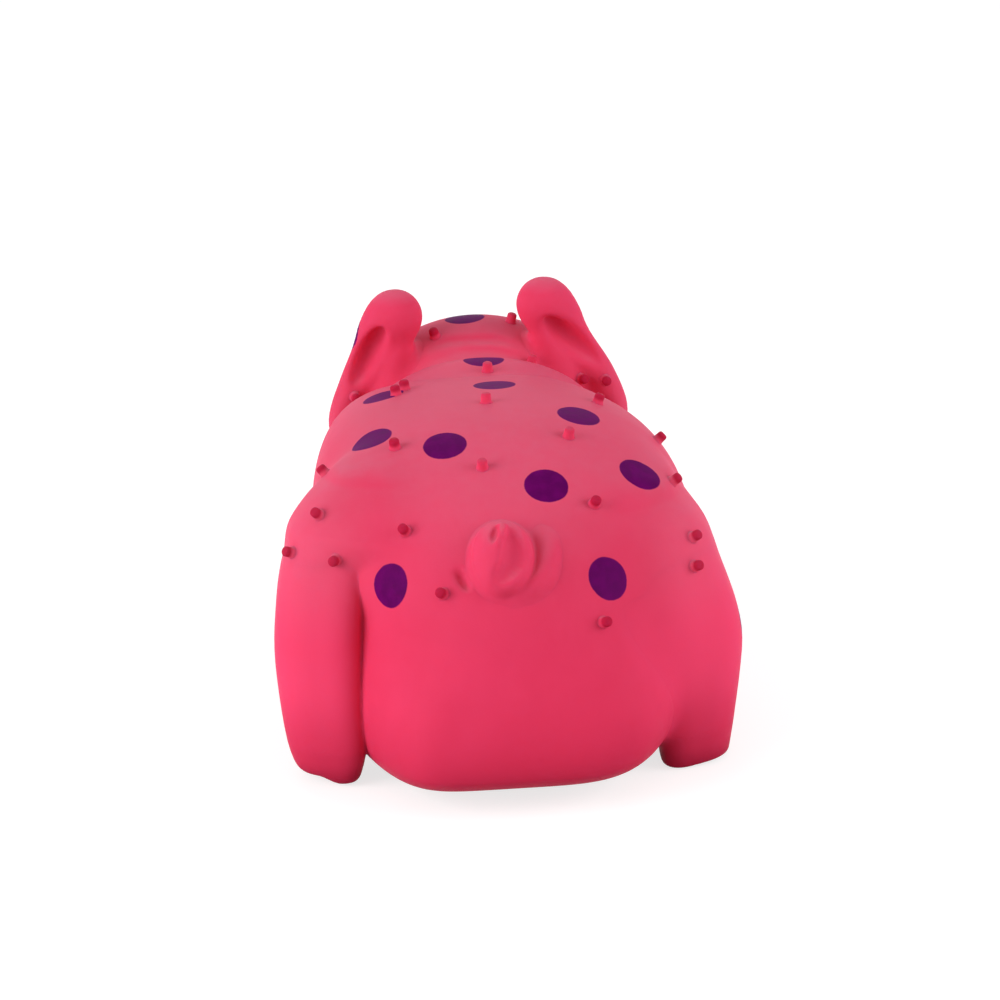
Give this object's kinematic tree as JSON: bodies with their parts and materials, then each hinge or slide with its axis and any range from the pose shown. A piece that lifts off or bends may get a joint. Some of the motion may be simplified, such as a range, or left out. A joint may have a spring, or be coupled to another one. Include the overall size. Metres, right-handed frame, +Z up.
{
  "type": "squeaky pig dog toy",
  "caption": "Stuffed latex pig dog toy lying on its belly, with flexing head, ears, legs and tail, a back that gives way when squeezed and a reed squeaker in the belly.",
  "frame": {"origin": "on the floor under the middle of the overall width and length", "axes": "+Y towards the nose, +Z up, +X towards the pig's right side"},
  "size_m": [0.1422, 0.2262, 0.1191],
  "materials": {
    "latex": "satin pink latex with purple spots",
    "fibre": "loose polyester fibre",
    "white_plastic": "satin moulded plastic",
    "reed_plastic": "smooth springy plastic film",
    "felt": "pressed felt"
  },
  "bodies": {
    "torso": {"torso_skin": "latex", "torso_fill": "fibre", "squeaker_cup": "white_plastic", "squeaker_lid": "white_plastic", "dust_felt": "felt", "reed_tube": "white_plastic", "reed_collar": "white_plastic"},
    "back": {"back_skin": "latex"},
    "head": {"head_skin": "latex", "head_fill": "fibre"},
    "left_ear": {"left_ear": "latex"},
    "right_ear": {"right_ear": "latex"},
    "left_hind_leg": {"left_hind_leg": "latex", "left_hind_fill": "fibre"},
    "right_hind_leg": {"right_hind_leg": "latex", "right_hind_fill": "fibre"},
    "left_front_leg": {"left_front_leg": "latex", "left_front_fill": "fibre"},
    "right_front_leg": {"right_front_leg": "latex", "right_front_fill": "fibre"},
    "tail": {"tail": "latex"},
    "reed": {"reed_tongue": "reed_plastic"}
  },
  "joints": [
    {"name": "squeeze", "type": "slide", "parent": "torso", "child": "back", "axis": [0, 0, -1], "range_m": [0, 0.015], "stiffness_N_per_m": 800, "deforming": ["torso_fill"]},
    {"name": "head_nod", "type": "hinge", "parent": "torso", "child": "head", "pos_m": [0, 0.03107, 0.064], "axis": [1, 0, 0], "range_deg": [-6, 6], "stiffness_Nm_per_rad": 6},
    {"name": "left_ear_fold", "type": "hinge", "parent": "head", "child": "left_ear", "pos_m": [-0.02772, 0.05907, 0.09321], "axis": [-0.5183, 0, -0.8552], "range_deg": [-10, 20], "stiffness_Nm_per_rad": 0.1},
    {"name": "right_ear_fold", "type": "hinge", "parent": "head", "child": "right_ear", "pos_m": [0.02772, 0.05907, 0.09321], "axis": [-0.5183, 0, 0.8552], "range_deg": [-10, 20], "stiffness_Nm_per_rad": 0.1},
    {"name": "left_hind_splay", "type": "hinge", "parent": "torso", "child": "left_hind_leg", "pos_m": [-0.05125, -0.06016, 0.06], "axis": [0, 1, 0], "range_deg": [0, 15], "stiffness_Nm_per_rad": 0.6},
    {"name": "right_hind_splay", "type": "hinge", "parent": "torso", "child": "right_hind_leg", "pos_m": [0.05, -0.06016, 0.06], "axis": [0, -1, 0], "range_deg": [0, 15], "stiffness_Nm_per_rad": 0.6},
    {"name": "left_front_splay", "type": "hinge", "parent": "torso", "child": "left_front_leg", "pos_m": [-0.0495, 0.01057, 0.042], "axis": [0, 1, 0], "range_deg": [0, 15], "stiffness_Nm_per_rad": 0.3},
    {"name": "right_front_splay", "type": "hinge", "parent": "torso", "child": "right_front_leg", "pos_m": [0.0495, 0.01057, 0.042], "axis": [0, -1, 0], "range_deg": [0, 15], "stiffness_Nm_per_rad": 0.3},
    {"name": "tail_swing", "type": "hinge", "parent": "torso", "child": "tail", "pos_m": [0.00614, -0.09265, 0.07498], "axis": [0, 0.6812, 0.7321], "range_deg": [0, 25], "stiffness_Nm_per_rad": 0.02},
    {"name": "reed_flex", "type": "hinge", "parent": "torso", "child": "reed", "pos_m": [0, 0.00717, 0.008], "axis": [-1, 0, 0], "range_deg": [0, 6], "stiffness_Nm_per_rad": 0.002}
  ]
}
